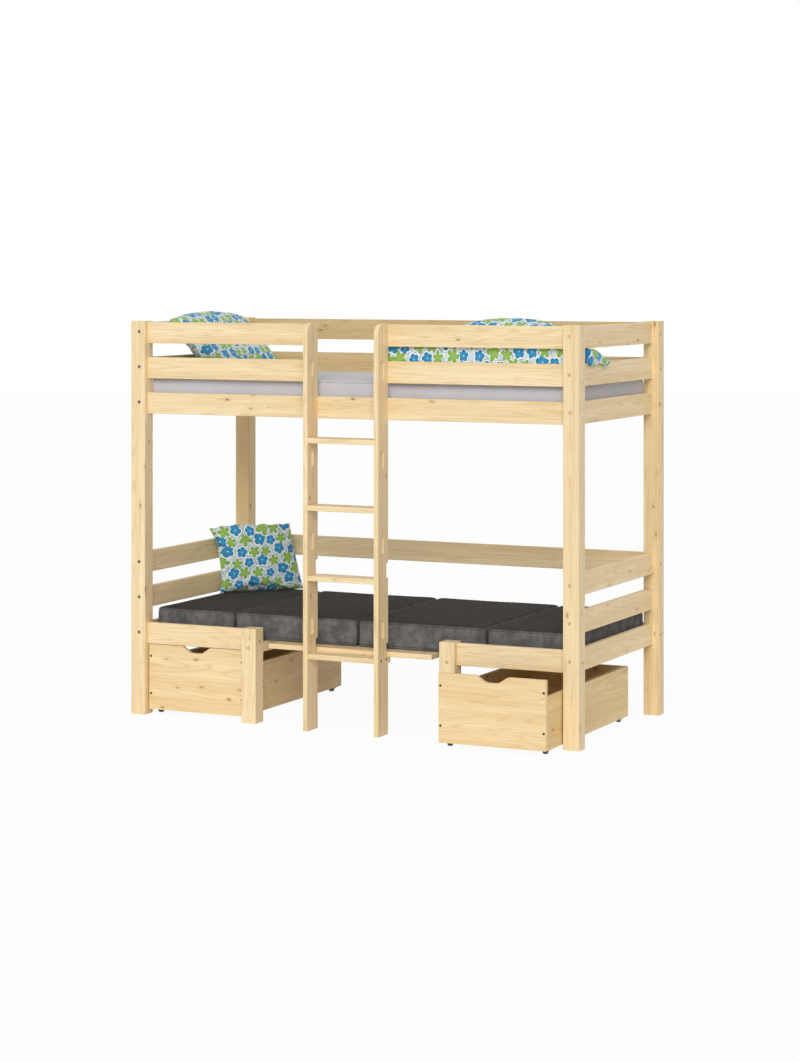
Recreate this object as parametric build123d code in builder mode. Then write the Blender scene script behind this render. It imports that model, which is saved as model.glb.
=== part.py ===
from build123d import *
import math
import os

os.makedirs("parts", exist_ok=True)

# Driving dimensions, in millimetres. +X runs to the right, +Y to the rear, +Z up.
mattress_length = 2000
mattress_width = 900
mattress_thick = 110
mattress_end_gap = 8
mattress_side_gap = 6
post_side = 70
post_height = 1732
board_height = 93
board_thick = 22
board_gap = 62
board_recess = 30
guard_drop = 5
lower_board_top = 713
edge_ease = 1.5
post_ease = 2
fit_gap = 0.3
soft_rest = 0.3

# Drawer sizes that set the origin and the levels
drawer_pull = 200
drawer_rear_gap = 49
drawer_side_height = 216
drawer_thick = 18
drawer_floor_gap = 22
drawer_run_gap = 5
drawer_top_gap = 2

# Overall size of the frame, worked out from the mattress that it is made for
bed_length = mattress_length + 2 * (mattress_end_gap + board_thick + board_recess)
bed_width = mattress_width + 2 * (mattress_side_gap + board_thick + board_recess)
drawer_depth = bed_width - board_recess - drawer_rear_gap

# The origin lies on the floor, midway along the bed, and midway between the rear faces
# of the posts and the front of the right drawer, which stands open.
mid_y = (drawer_pull - board_recess) / 2

# Faces and levels that the pieces share
end_x = bed_length / 2
post_in_x = end_x - post_side
front_y = mid_y - bed_width / 2
rear_y = mid_y + bed_width / 2
post_in_front_y = front_y + post_side
post_in_rear_y = rear_y - post_side
rail_front_y = front_y + board_recess
rail_in_front_y = rail_front_y + board_thick
rail_rear_y = rear_y - board_recess
rail_in_rear_y = rail_rear_y - board_thick
end_board_x = end_x - board_recess
end_board_in_x = end_board_x - board_thick
board_pitch = board_height + board_gap
guard_top = post_height - guard_drop
guard_mid_top = guard_top - board_pitch
bed_rail_top = guard_mid_top - board_pitch
back_board_top = lower_board_top - board_pitch
seat_rail_top = back_board_top - board_pitch
seat_rail_bottom = seat_rail_top - board_height

# Bolts. End boards are held a little above their middle and long boards a little below
# it, so that the two bolts pass each other inside the post.
shank_radius = 3
shank_hole_radius = 3.1
head_radius = 7.5
head_seat_radius = 8
head_thick = 4
head_seat_depth = 8
bolt_reach = 40
bolt_hole_reach = 44
bolt_pass = 5
shank_faces = 6
small_round_faces = 8
bolt_inset = board_recess + board_thick / 2
upper_mids = [top - board_height / 2 for top in (guard_top, guard_mid_top, bed_rail_top)]
lower_mids = [top - board_height / 2 for top in (lower_board_top, back_board_top, seat_rail_top)]
end_bolt_levels = [middle + bolt_pass for middle in upper_mids + lower_mids]
front_bolt_levels = [middle - bolt_pass for middle in upper_mids + lower_mids[-1:]]
rear_bolt_levels = [middle - bolt_pass for middle in upper_mids + lower_mids[:1] + lower_mids[-1:]]
seat_bolt_level = front_bolt_levels[-1]


def save(builder, name):
    builder.part.label = name
    export_step(builder.part, f"parts/{name}.step")


# Posts, with a through hole and a sunk seat for the head of every bolt
def make_post(name, side, face):
    outer_x = side * end_x
    outer_y = mid_y + face * bed_width / 2
    end_bolts = [(side * (end_x - bolt_inset), level) for level in end_bolt_levels]
    rail_levels = front_bolt_levels if face < 0 else rear_bolt_levels
    rail_bolts = [(outer_y - face * bolt_inset, level) for level in rail_levels]
    with BuildPart() as post:
        with BuildSketch(Plane.XY):
            with Locations((outer_x - side * post_side / 2, outer_y - face * post_side / 2)):
                Rectangle(post_side, post_side)
        extrude(amount=post_height)
        corner_edges = post.edges().filter_by(Axis.Z)
        chamfer(corner_edges + post.faces().sort_by(Axis.Z)[-1].edges(), length=post_ease)
        for plane, places, inward in (
            (Plane.XZ.offset(-outer_y), end_bolts, face),
            (Plane.YZ.offset(outer_x), rail_bolts, -side),
        ):
            with BuildSketch(plane):
                with Locations(places):
                    RegularPolygon(head_seat_radius, small_round_faces)
            extrude(amount=inward * head_seat_depth, mode=Mode.SUBTRACT)
            with BuildSketch(plane):
                with Locations(places):
                    RegularPolygon(shank_hole_radius, shank_faces)
            extrude(amount=inward * post_side, mode=Mode.SUBTRACT)
    save(post, name)


make_post("post_front_left", -1, -1)
make_post("post_front_right", 1, -1)
make_post("post_rear_left", -1, 1)
make_post("post_rear_right", 1, 1)


# Long boards run along X. The front guard boards stop halfway across the ladder uprights,
# which they carry. Each board end that meets a post has a hole for its bolt.
def make_long_board(name, start_x, stop_x, outer_y, inward, top, bolt_ends):
    middle_y = outer_y + inward * board_thick / 2
    with BuildPart() as board:
        with BuildSketch(Plane.YZ.offset(start_x)):
            with Locations((middle_y, top - board_height / 2)):
                Rectangle(board_thick, board_height)
        extrude(amount=stop_x - start_x)
        chamfer(board.edges().filter_by(Axis.X), length=edge_ease)
        for bolt_x in bolt_ends:
            with BuildSketch(Plane.YZ.offset(bolt_x)):
                with Locations((middle_y, top - board_height / 2 - bolt_pass)):
                    RegularPolygon(shank_hole_radius, shank_faces)
            extrude(amount=-math.copysign(bolt_hole_reach, bolt_x), mode=Mode.SUBTRACT)
    save(board, name)


ladder_middle_x = 7
ladder_gap = 313
upright_thick = 21
ladder_meet_x = (ladder_gap + upright_thick) / 2
left_stop = ladder_middle_x - ladder_meet_x
right_stop = ladder_middle_x + ladder_meet_x

for board_name, top in (("guard_top", guard_top), ("guard_mid", guard_mid_top)):
    make_long_board(f"{board_name}_front_left", -post_in_x, left_stop, rail_front_y, 1, top, [-post_in_x])
    make_long_board(f"{board_name}_front_right", right_stop, post_in_x, rail_front_y, 1, top, [post_in_x])

full_length = (-post_in_x, post_in_x)
for board_name, outer_y, inward, top in (
    ("bed_rail_front", rail_front_y, 1, bed_rail_top),
    ("bed_rail_rear", rail_rear_y, -1, bed_rail_top),
    ("guard_top_rear", rail_rear_y, -1, guard_top),
    ("guard_mid_rear", rail_rear_y, -1, guard_mid_top),
    ("back_board_rear", rail_rear_y, -1, lower_board_top),
):
    make_long_board(board_name, *full_length, outer_y, inward, top, full_length)


# End boards, three to a set, run along Y between a front and a rear post
def make_end_boards(name, side, tops):
    board_x = side * (end_board_x - board_thick / 2)
    with BuildPart() as boards:
        with BuildSketch(Plane.XZ.offset(-post_in_front_y)):
            with Locations([(board_x, top - board_height / 2) for top in tops]):
                Rectangle(board_thick, board_height)
        extrude(amount=post_in_front_y - post_in_rear_y)
        chamfer(boards.edges().filter_by(Axis.Y), length=edge_ease)
        for bolt_y, inward in ((post_in_front_y, 1), (post_in_rear_y, -1)):
            with BuildSketch(Plane.XZ.offset(-bolt_y)):
                with Locations([(board_x, top - board_height / 2 + bolt_pass) for top in tops]):
                    RegularPolygon(shank_hole_radius, shank_faces)
            extrude(amount=-inward * bolt_hole_reach, mode=Mode.SUBTRACT)
    save(boards, name)


for side_name, side in (("left", -1), ("right", 1)):
    make_end_boards(f"end_boards_upper_{side_name}", side, (guard_top, guard_mid_top, bed_rail_top))
    make_end_boards(f"end_boards_lower_{side_name}", side, (lower_board_top, back_board_top, seat_rail_top))

# Seats: at each end a short front post, a front rail, and a flat beam that runs from the
# short post to the rear seat rail.
seat_inner_x = 435
seat_outer_x = seat_inner_x + post_side
short_post_rise = 5
short_post_x = seat_inner_x + post_side / 2
beam_height = 43
slat_thick = 18
table_low = 325
table_thick = 21
lying_top = table_low + table_thick
beam_bolt_level = lying_top - beam_height / 2

for side_name, side in (("left", -1), ("right", 1)):
    rail_bolt_y = front_y + bolt_inset
    with BuildPart() as short_post:
        with BuildSketch(Plane.XY):
            with Locations((side * short_post_x, front_y + post_side / 2)):
                Rectangle(post_side, post_side)
        extrude(amount=seat_rail_top + short_post_rise)
        chamfer(short_post.edges().filter_by(Axis.Z), length=edge_ease)
        chamfer(short_post.faces().sort_by(Axis.Z)[-1].edges(), length=edge_ease)
        for plane, place, inward in (
            (Plane.XZ.offset(-front_y), (side * short_post_x, beam_bolt_level), -1),
            (Plane.YZ.offset(side * seat_inner_x), (rail_bolt_y, seat_bolt_level), side),
        ):
            with BuildSketch(plane):
                with Locations(place):
                    RegularPolygon(head_seat_radius, small_round_faces)
            extrude(amount=inward * head_seat_depth, mode=Mode.SUBTRACT)
            with BuildSketch(plane):
                with Locations(place):
                    RegularPolygon(shank_hole_radius, shank_faces)
            extrude(amount=inward * post_side, mode=Mode.SUBTRACT)
    save(short_post, f"short_post_{side_name}")

    with BuildPart() as beam:
        with BuildSketch(Plane.XZ.offset(-post_in_front_y)):
            with Locations((side * short_post_x, beam_bolt_level)):
                Rectangle(post_side, beam_height)
        extrude(amount=post_in_front_y - rail_in_rear_y)
        chamfer(beam.edges().filter_by(Axis.Y), length=edge_ease)
        for bolt_y, inward in ((post_in_front_y, 1), (rail_in_rear_y, -1)):
            with BuildSketch(Plane.XZ.offset(-bolt_y)):
                with Locations((side * short_post_x, beam_bolt_level)):
                    RegularPolygon(shank_hole_radius, shank_faces)
            extrude(amount=-inward * bolt_hole_reach, mode=Mode.SUBTRACT)
    save(beam, f"seat_beam_{side_name}")

    seat_rail_ends = sorted((side * seat_outer_x, side * post_in_x))
    with BuildPart() as seat_rail:
        with BuildSketch(Plane.YZ.offset(seat_rail_ends[0])):
            with Locations((rail_bolt_y, seat_rail_top - board_height / 2)):
                Rectangle(board_thick, board_height)
        extrude(amount=post_in_x - seat_outer_x)
        chamfer(seat_rail.edges().filter_by(Axis.X), length=edge_ease)
        for bolt_x, inward in ((side * seat_outer_x, side), (side * post_in_x, -side)):
            with BuildSketch(Plane.YZ.offset(bolt_x)):
                with Locations((rail_bolt_y, seat_bolt_level)):
                    RegularPolygon(shank_hole_radius, shank_faces)
            extrude(amount=inward * bolt_hole_reach, mode=Mode.SUBTRACT)
    save(seat_rail, f"seat_rail_front_{side_name}")

# Rear seat rail, drilled for the rear bolts of the seat beams
with BuildPart() as rear_seat_rail:
    rail_middle_y = rail_rear_y - board_thick / 2
    with BuildSketch(Plane.YZ.offset(-post_in_x)):
        with Locations((rail_middle_y, seat_rail_top - board_height / 2)):
            Rectangle(board_thick, board_height)
    extrude(amount=2 * post_in_x)
    chamfer(rear_seat_rail.edges().filter_by(Axis.X), length=edge_ease)
    for bolt_x in full_length:
        with BuildSketch(Plane.YZ.offset(bolt_x)):
            with Locations((rail_middle_y, seat_bolt_level)):
                RegularPolygon(shank_hole_radius, shank_faces)
        extrude(amount=-math.copysign(bolt_hole_reach, bolt_x), mode=Mode.SUBTRACT)
    beam_bolts = [(-short_post_x, beam_bolt_level), (short_post_x, beam_bolt_level)]
    with BuildSketch(Plane.XZ.offset(-rail_rear_y)):
        with Locations(beam_bolts):
            RegularPolygon(head_seat_radius, small_round_faces)
    extrude(amount=head_seat_depth, mode=Mode.SUBTRACT)
    with BuildSketch(Plane.XZ.offset(-rail_rear_y)):
        with Locations(beam_bolts):
            RegularPolygon(shank_hole_radius, shank_faces)
    extrude(amount=board_thick, mode=Mode.SUBTRACT)
save(rear_seat_rail, "seat_rail_rear")

# Every frame bolt: a head in its sunk seat and a shank that runs on into the board
shank_length = post_side - head_seat_depth + bolt_reach
rear_shank_length = board_thick - head_seat_depth + bolt_reach
end_bolts = [(side * (end_x - bolt_inset), level) for side in (-1, 1) for level in end_bolt_levels]
seat_bolts = [(side * short_post_x, beam_bolt_level) for side in (-1, 1)]
rail_bolts = [(front_y + bolt_inset, level) for level in front_bolt_levels]
rail_bolts += [(rear_y - bolt_inset, level) for level in rear_bolt_levels]
bolt_rows = [
    (Plane.XZ.offset(-front_y), end_bolts + seat_bolts, -1, shank_length),
    (Plane.XZ.offset(-rear_y), end_bolts, 1, shank_length),
    (Plane.XZ.offset(-rail_rear_y), seat_bolts, 1, rear_shank_length),
]
for side in (-1, 1):
    bolt_rows.append((Plane.YZ.offset(side * end_x), rail_bolts, -side, shank_length))
    seat_rail_bolt = [(front_y + bolt_inset, seat_bolt_level)]
    bolt_rows.append((Plane.YZ.offset(side * seat_inner_x), seat_rail_bolt, side, shank_length))

with BuildPart() as frame_bolts:
    for plane, places, toward, length in bolt_rows:
        with BuildSketch(plane.offset(toward * head_seat_depth)):
            with Locations(places):
                RegularPolygon(head_radius, small_round_faces)
        extrude(amount=-toward * head_thick)
        with BuildSketch(plane.offset(toward * head_seat_depth)):
            with Locations(places):
                RegularPolygon(shank_radius, shank_faces)
        extrude(amount=toward * length)
save(frame_bolts, "frame_bolts")

# Slats and the ledgers that they lie on
slat_width = 70
slat_end_gap = 2
slat_margin = 20
ledger_side = 22
ledger_height = 25
upper_ledger_height = 35
upper_slat_count = 14
seat_slat_count = 6
upper_ledger_top = bed_rail_top - board_height + upper_ledger_height
mattress_bottom = upper_ledger_top + slat_thick
upper_slat_length = rail_in_rear_y - rail_in_front_y - 2 * slat_end_gap
upper_slat_span = 2 * (post_in_x - slat_margin) - slat_width
seat_slat_start = seat_outer_x + slat_end_gap
seat_slat_length = end_board_in_x - slat_end_gap - seat_slat_start
seat_slat_span = post_in_rear_y - post_in_front_y - 2 * slat_margin - slat_width
seat_ledger_top = lying_top - slat_thick

with BuildPart() as slats_upper:
    with BuildSketch(Plane.XY.offset(upper_ledger_top)):
        with Locations((0, mid_y)):
            with GridLocations(upper_slat_span / (upper_slat_count - 1), 0, upper_slat_count, 1):
                Rectangle(slat_width, upper_slat_length)
    extrude(amount=slat_thick)
save(slats_upper, "slats_upper")

with BuildPart() as ledgers_upper:
    ledger_level = upper_ledger_top - upper_ledger_height / 2
    ledger_ys = [rail_in_front_y + ledger_side / 2, rail_in_rear_y - ledger_side / 2]
    with BuildSketch(Plane.YZ.offset(-post_in_x)):
        with Locations([(ledger_y, ledger_level) for ledger_y in ledger_ys]):
            Rectangle(ledger_side, upper_ledger_height)
    extrude(amount=2 * post_in_x)
save(ledgers_upper, "ledgers_upper")

for side_name, side in (("left", -1), ("right", 1)):
    with BuildPart() as slats_seat:
        with BuildSketch(Plane.XY.offset(seat_ledger_top)):
            with Locations((side * (seat_slat_start + seat_slat_length / 2), mid_y)):
                with GridLocations(0, seat_slat_span / (seat_slat_count - 1), 1, seat_slat_count):
                    Rectangle(seat_slat_length, slat_width)
        extrude(amount=slat_thick)
    save(slats_seat, f"slats_seat_{side_name}")

with BuildPart() as ledgers_seat:
    ledger_xs = [seat_outer_x + ledger_side / 2, end_board_in_x - ledger_side / 2]
    ledger_level = seat_ledger_top - ledger_height / 2
    with BuildSketch(Plane.XZ.offset(-post_in_front_y)):
        with Locations([(side * ledger_x, ledger_level) for side in (-1, 1) for ledger_x in ledger_xs]):
            Rectangle(ledger_side, ledger_height)
    extrude(amount=post_in_front_y - post_in_rear_y)
save(ledgers_seat, "ledgers_seat")

# Ladder uprights stand against the front boards. Each has a rounded head, four grip slots
# right through it, two open notches in its rear edge for the table board, a housing for
# every tread, and sunk seats for the plugs over the tread screws.
upright_depth = 95
upright_drop = 2
upright_height = post_height - upright_drop
upright_head_radius = 48
tread_thick = 22
tread_recess = 2
tread_housing = 6
table_high = 660
tread_tops = [1244, 958, table_high, 328]
tread_depth = upright_depth - tread_recess
tread_middle_y = rail_front_y - tread_depth / 2
upright_front_y = rail_front_y - upright_depth
grip_centres = [1538, 1160, 805, 446]
grip_width = 32
grip_height = 80
grip_inset = 40
notch_depth = 17
notch_height = 61
plug_radius = 5
plug_depth = 4
plug_insets = [28, 76]
plug_places = [
    (upright_front_y + inset, top - tread_thick / 2) for inset in plug_insets for top in tread_tops
]


def make_upright(name, side):
    inner_x = ladder_middle_x + side * ladder_gap / 2
    head_start = upright_height - upright_head_radius
    head_stop_y = upright_front_y + upright_head_radius
    with BuildPart() as upright:
        with BuildSketch(Plane.YZ.offset(inner_x)):
            with BuildLine():
                Line((rail_front_y, 0), (upright_front_y, 0))
                Line((upright_front_y, 0), (upright_front_y, head_start))
                RadiusArc((upright_front_y, head_start), (head_stop_y, upright_height), upright_head_radius)
                Line((head_stop_y, upright_height), (rail_front_y, upright_height))
                Line((rail_front_y, upright_height), (rail_front_y, 0))
            make_face()
            with Locations([(upright_front_y + grip_inset, centre) for centre in grip_centres]):
                SlotOverall(grip_height, grip_width, rotation=90, mode=Mode.SUBTRACT)
            with Locations([(rail_front_y, level + notch_height / 2) for level in (table_low, table_high)]):
                Rectangle(2 * notch_depth, notch_height, mode=Mode.SUBTRACT)
        extrude(amount=side * upright_thick)
        with BuildSketch(Plane.YZ.offset(inner_x)):
            with Locations([(tread_middle_y, top - tread_thick / 2) for top in tread_tops]):
                Rectangle(tread_depth, tread_thick)
        extrude(amount=side * tread_housing, mode=Mode.SUBTRACT)
        with BuildSketch(Plane.YZ.offset(inner_x + side * upright_thick)):
            with Locations(plug_places):
                RegularPolygon(plug_radius, small_round_faces)
        extrude(amount=-side * plug_depth, mode=Mode.SUBTRACT)
    save(upright, name)


make_upright("ladder_upright_left", -1)
make_upright("ladder_upright_right", 1)

# Treads lie flat between the uprights with their ends let into the housings
with BuildPart() as ladder_treads:
    with BuildSketch(Plane.YZ.offset(ladder_middle_x - ladder_gap / 2 - tread_housing)):
        with Locations([(tread_middle_y, top - tread_thick / 2) for top in tread_tops]):
            Rectangle(tread_depth, tread_thick)
    extrude(amount=ladder_gap + 2 * tread_housing)
    chamfer(ladder_treads.edges().filter_by(Axis.X).group_by(Axis.Y)[0], length=edge_ease)
save(ladder_treads, "ladder_treads")

with BuildPart() as ladder_plugs:
    for side in (-1, 1):
        plug_x = ladder_middle_x + side * (ladder_gap / 2 + upright_thick)
        with BuildSketch(Plane.YZ.offset(plug_x)):
            with Locations(plug_places):
                RegularPolygon(plug_radius, small_round_faces)
        extrude(amount=-side * plug_depth)
save(ladder_plugs, "ladder_plugs")

# Table board. It lies low as a bed and lifts to the upper notches as a desk. Its rear edge
# lies on a ledger and its front edge on two cleats behind the ladder uprights.
table_length = 774
table_rear_gap = 9
table_front_y = rail_front_y + fit_gap
table_rear_y = rail_in_rear_y - table_rear_gap
with BuildPart() as tabletop:
    with BuildSketch(Plane.XY.offset(table_low)):
        with Locations((0, (table_front_y + table_rear_y) / 2)):
            Rectangle(table_length, table_rear_y - table_front_y)
    extrude(amount=table_thick)
    chamfer(tabletop.faces().filter_by(Axis.Z).edges(), length=edge_ease)
save(tabletop, "tabletop")

with BuildPart() as table_ledger:
    with BuildSketch(Plane.YZ.offset(-table_length / 2)):
        with Locations((rail_in_rear_y - ledger_side / 2, table_low - ledger_height / 2)):
            Rectangle(ledger_side, ledger_height)
    extrude(amount=table_length)
save(table_ledger, "table_ledger")

with BuildPart() as table_cleats:
    with BuildSketch(Plane.XY.offset(table_low - ledger_height)):
        with Locations((left_stop, rail_front_y + ledger_side / 2), (right_stop, rail_front_y + ledger_side / 2)):
            Rectangle(upright_thick, ledger_side)
    extrude(amount=ledger_height)
save(table_cleats, "table_cleats")

# Drawers: a front with a finger cut-out, two sides, a back, and a bottom panel held in
# grooves. Four wheels turn on shoulder screws in the inner faces of the sides.
drawer_inner_x = seat_outer_x + drawer_run_gap
drawer_width = post_in_x - drawer_run_gap - drawer_inner_x
drawer_front_top = seat_rail_bottom - drawer_top_gap
drawer_side_top = drawer_floor_gap + drawer_side_height
panel_thick = 6
panel_level = 50
groove_depth = 6
groove_height = panel_thick + 2 * fit_gap
cut_half_width = 70
cut_floor_half = 28
cut_depth = 28
cut_floor_radius = 45
cut_lip_radius = 18
screw_radius = 4
screw_seat_depth = 3
screw_low_level = 92
screw_high_level = 256
screw_inset = 9
wheel_radius = 20
wheel_width = 12
wheel_bore_radius = 4.06
axle_radius = 4
axle_faces = 12
axle_reach = 12
axle_head_radius = 8
axle_head_thick = 2
spacer_radius = 7
spacer_thick = 2
wheel_play = 0.4
wheel_front_setback = 62
wheel_rear_setback = 47


def make_drawer(label, side, pull):
    middle_x = side * (drawer_inner_x + drawer_width / 2)
    face_y = rail_front_y - pull
    box_y = face_y + drawer_thick
    back_y = face_y + drawer_depth
    groove_front_y = box_y - groove_depth
    groove_back_y = back_y - drawer_thick + groove_depth
    inner_width = drawer_width - 2 * drawer_thick
    side_middle = (drawer_width - drawer_thick) / 2
    screw_x = drawer_width / 2 - screw_inset
    screw_levels = (screw_low_level, screw_high_level)
    screw_places = [(middle_x + way * screw_x, level) for way in (-1, 1) for level in screw_levels]

    with BuildPart() as front:
        with BuildSketch(Plane.XZ.offset(-face_y)) as outline:
            with Locations((middle_x, (drawer_floor_gap + drawer_front_top) / 2)):
                Rectangle(drawer_width, drawer_front_top - drawer_floor_gap)
            with BuildLine():
                Polyline(
                    (middle_x - cut_half_width, drawer_front_top),
                    (middle_x - cut_floor_half, drawer_front_top - cut_depth),
                    (middle_x + cut_floor_half, drawer_front_top - cut_depth),
                    (middle_x + cut_half_width, drawer_front_top),
                    close=True,
                )
            make_face(mode=Mode.SUBTRACT)
            fillet(outline.vertices().group_by(Axis.Y)[1], radius=cut_floor_radius)
            fillet(outline.vertices().group_by(Axis.Y)[-1].sort_by(Axis.X)[1:3], radius=cut_lip_radius)
        extrude(amount=-drawer_thick)
        with BuildSketch(Plane.XZ.offset(-groove_front_y)):
            with Locations((middle_x, panel_level + panel_thick / 2)):
                Rectangle(inner_width + 2 * groove_depth, groove_height)
        extrude(amount=-groove_depth, mode=Mode.SUBTRACT)
        with BuildSketch(Plane.XZ.offset(-face_y)):
            with Locations(screw_places):
                RegularPolygon(screw_radius, small_round_faces)
        extrude(amount=-screw_seat_depth, mode=Mode.SUBTRACT)
    save(front, f"drawer_{label}_front")

    with BuildPart() as sides:
        with BuildSketch(Plane.XZ.offset(-box_y)):
            with Locations(
                (middle_x - side_middle, (drawer_floor_gap + drawer_side_top) / 2),
                (middle_x + side_middle, (drawer_floor_gap + drawer_side_top) / 2),
            ):
                Rectangle(drawer_thick, drawer_side_height)
            with Locations((middle_x, panel_level + panel_thick / 2)):
                Rectangle(inner_width + 2 * groove_depth, groove_height, mode=Mode.SUBTRACT)
        extrude(amount=box_y - back_y)
        for way in (-1, 1):
            with BuildSketch(Plane.YZ.offset(middle_x + way * inner_width / 2)):
                with Locations(
                    (face_y + wheel_front_setback, wheel_radius),
                    (back_y - wheel_rear_setback, wheel_radius),
                ):
                    RegularPolygon(axle_radius, axle_faces)
            extrude(amount=way * axle_reach, mode=Mode.SUBTRACT)
    save(sides, f"drawer_{label}_sides")

    with BuildPart() as back:
        with BuildSketch(Plane.XZ.offset(-back_y)):
            with Locations((middle_x, (drawer_floor_gap + drawer_side_top) / 2)):
                Rectangle(inner_width, drawer_side_height)
        extrude(amount=drawer_thick)
        with BuildSketch(Plane.XZ.offset(-groove_back_y)):
            with Locations((middle_x, panel_level + panel_thick / 2)):
                Rectangle(inner_width, groove_height)
        extrude(amount=groove_depth, mode=Mode.SUBTRACT)
    save(back, f"drawer_{label}_back")

    with BuildPart() as panel:
        with BuildSketch(Plane.XY.offset(panel_level)):
            with Locations((middle_x, (groove_front_y + groove_back_y) / 2)):
                Rectangle(inner_width + 2 * (groove_depth - fit_gap), groove_back_y - groove_front_y - 2 * fit_gap)
        extrude(amount=panel_thick)
    save(panel, f"drawer_{label}_panel")

    # Front screws, and the shoulder screws with their spacers
    axle_ys = (face_y + wheel_front_setback, back_y - wheel_rear_setback)
    with BuildPart() as fasteners:
        with BuildSketch(Plane.XZ.offset(-face_y)):
            with Locations(screw_places):
                RegularPolygon(screw_radius, small_round_faces)
        extrude(amount=-screw_seat_depth)
        for way in (-1, 1):
            side_face_x = middle_x + way * inner_width / 2
            wheel_room = wheel_width + wheel_play
            for radius, start, length in (
                (spacer_radius, 0, spacer_thick),
                (axle_radius, 0, spacer_thick + wheel_room),
                (axle_head_radius, spacer_thick + wheel_room, axle_head_thick),
            ):
                with BuildSketch(Plane.YZ.offset(side_face_x - way * start)):
                    with Locations([(axle_y, wheel_radius) for axle_y in axle_ys]):
                        RegularPolygon(radius, axle_faces)
                extrude(amount=-way * length)
            with BuildSketch(Plane.YZ.offset(side_face_x)):
                with Locations([(axle_y, wheel_radius) for axle_y in axle_ys]):
                    RegularPolygon(axle_radius, axle_faces)
            extrude(amount=way * axle_reach)
    save(fasteners, f"drawer_{label}_fasteners")

    for place, axle_y in zip(("front", "rear"), axle_ys):
        with BuildPart() as wheels:
            for way in (-1, 1):
                wheel_start_x = middle_x + way * (inner_width / 2 - spacer_thick - wheel_play / 2)
                with BuildSketch(Plane.YZ.offset(wheel_start_x)):
                    with Locations((axle_y, wheel_radius)):
                        Circle(wheel_radius)
                        Circle(wheel_bore_radius, mode=Mode.SUBTRACT)
                extrude(amount=-way * wheel_width)
        save(wheels, f"drawer_{label}_wheels_{place}")


make_drawer("left", -1, 0)
make_drawer("right", 1, drawer_pull)

# Soft pieces. Each cushion has a slight crown and drawn-in edges top and bottom.
mattress_corner = 60
cushion_thick = 118
cushion_corner = 30
cushion_front_gap = 51
cushion_rear_gap = 10
cushion_end_gap = 12
cushion_seam = 600
seam_gap = 1
edge_draw = 10
side_draw = 2
crown_inset = 45
low_share = 0.14
high_share = 0.8
shoulder_share = 0.95


def make_cushion(name, start_x, stop_x, start_y, stop_y, bottom, thick, corner):
    stations = (
        (0, edge_draw),
        (low_share, side_draw),
        (high_share, 0),
        (shoulder_share, edge_draw),
        (1, crown_inset),
    )
    with BuildPart() as cushion:
        for share, inset in stations:
            with BuildSketch(Plane.XY.offset(bottom + share * thick)):
                with Locations(((start_x + stop_x) / 2, (start_y + stop_y) / 2)):
                    RectangleRounded(stop_x - start_x - 2 * inset, stop_y - start_y - 2 * inset, corner)
        loft(ruled=True)
    save(cushion, name)


make_cushion(
    "mattress",
    -mattress_length / 2,
    mattress_length / 2,
    mid_y - mattress_width / 2,
    mid_y + mattress_width / 2,
    mattress_bottom + soft_rest,
    mattress_thick,
    mattress_corner,
)
cushion_end = end_board_in_x - cushion_end_gap
cushion_front_y = rail_in_front_y + cushion_front_gap
cushion_rear_y = rail_in_rear_y - cushion_rear_gap
seams = (-cushion_end, -cushion_seam, 0, cushion_seam, cushion_end)
cushion_names = ("seat_cushion_left", "table_cushion_left", "table_cushion_right", "seat_cushion_right")
for cushion_name, start_x, stop_x in zip(cushion_names, seams, seams[1:]):
    make_cushion(
        cushion_name,
        start_x + seam_gap,
        stop_x - seam_gap,
        cushion_front_y,
        cushion_rear_y,
        lying_top + soft_rest,
        cushion_thick,
        cushion_corner,
    )

# Pillows. Four drawn-in sides meet in pointed corners, and both faces swell.
# A pillow's outline is the same at every depth, only smaller towards both faces.
side_step_shares = (0, 0.25, 0.5, 0.75)
pillow_section_shares = ((-1, 0.3), (-0.78, 0.66), (-0.38, 0.9), (0, 1), (0.38, 0.9), (0.78, 0.66), (1, 0.3))


def make_pillow(name, plane, width, height, thick, lean_over, draw_shares):
    corners = [
        Vector(-width / 2, -height / 2),
        Vector(width / 2, -height / 2),
        Vector(width / 2 - lean_over, height / 2),
        Vector(-width / 2 - lean_over, height / 2),
    ]
    centre = sum(corners, Vector()) / len(corners)
    outline = []
    for start, stop, draw_share in zip(corners, corners[1:] + corners[:1], draw_shares):
        for step_share in side_step_shares:
            drawn_in = 4 * draw_share * step_share * (1 - step_share)
            outline.append((start + (stop - start) * step_share - centre) * (1 - drawn_in))
    with BuildPart() as pillow:
        for depth_share, size_share in pillow_section_shares:
            with BuildSketch(plane.offset(depth_share * thick / 2)):
                with BuildLine():
                    Polyline([centre + point * size_share for point in outline], close=True)
                make_face()
        loft(ruled=True)
    save(pillow, name)


lower_pillow_width = 392
lower_pillow_height = 300
lower_pillow_thick = 118
lower_pillow_over = 50
lower_pillow_turn = 47.3
lower_pillow_end_gap = 157
lower_pillow_rear_gap = 152
lower_pillow_rise = 3.4
seat_cushion_top = lying_top + soft_rest + cushion_thick
turn_cos = math.cos(math.radians(lower_pillow_turn))
turn_sin = math.sin(math.radians(lower_pillow_turn))
lower_pillow_plane = Plane(
    origin=(
        lower_pillow_end_gap - cushion_end,
        cushion_rear_y - lower_pillow_rear_gap,
        seat_cushion_top + lower_pillow_rise + lower_pillow_height / 2,
    ),
    x_dir=(turn_cos, turn_sin, 0),
    z_dir=(turn_sin, -turn_cos, 0),
)
make_pillow(
    "pillow_lower",
    lower_pillow_plane,
    lower_pillow_width,
    lower_pillow_height,
    lower_pillow_thick,
    lower_pillow_over,
    (-0.02, 0.1, 0.1, 0.1),
)

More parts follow.
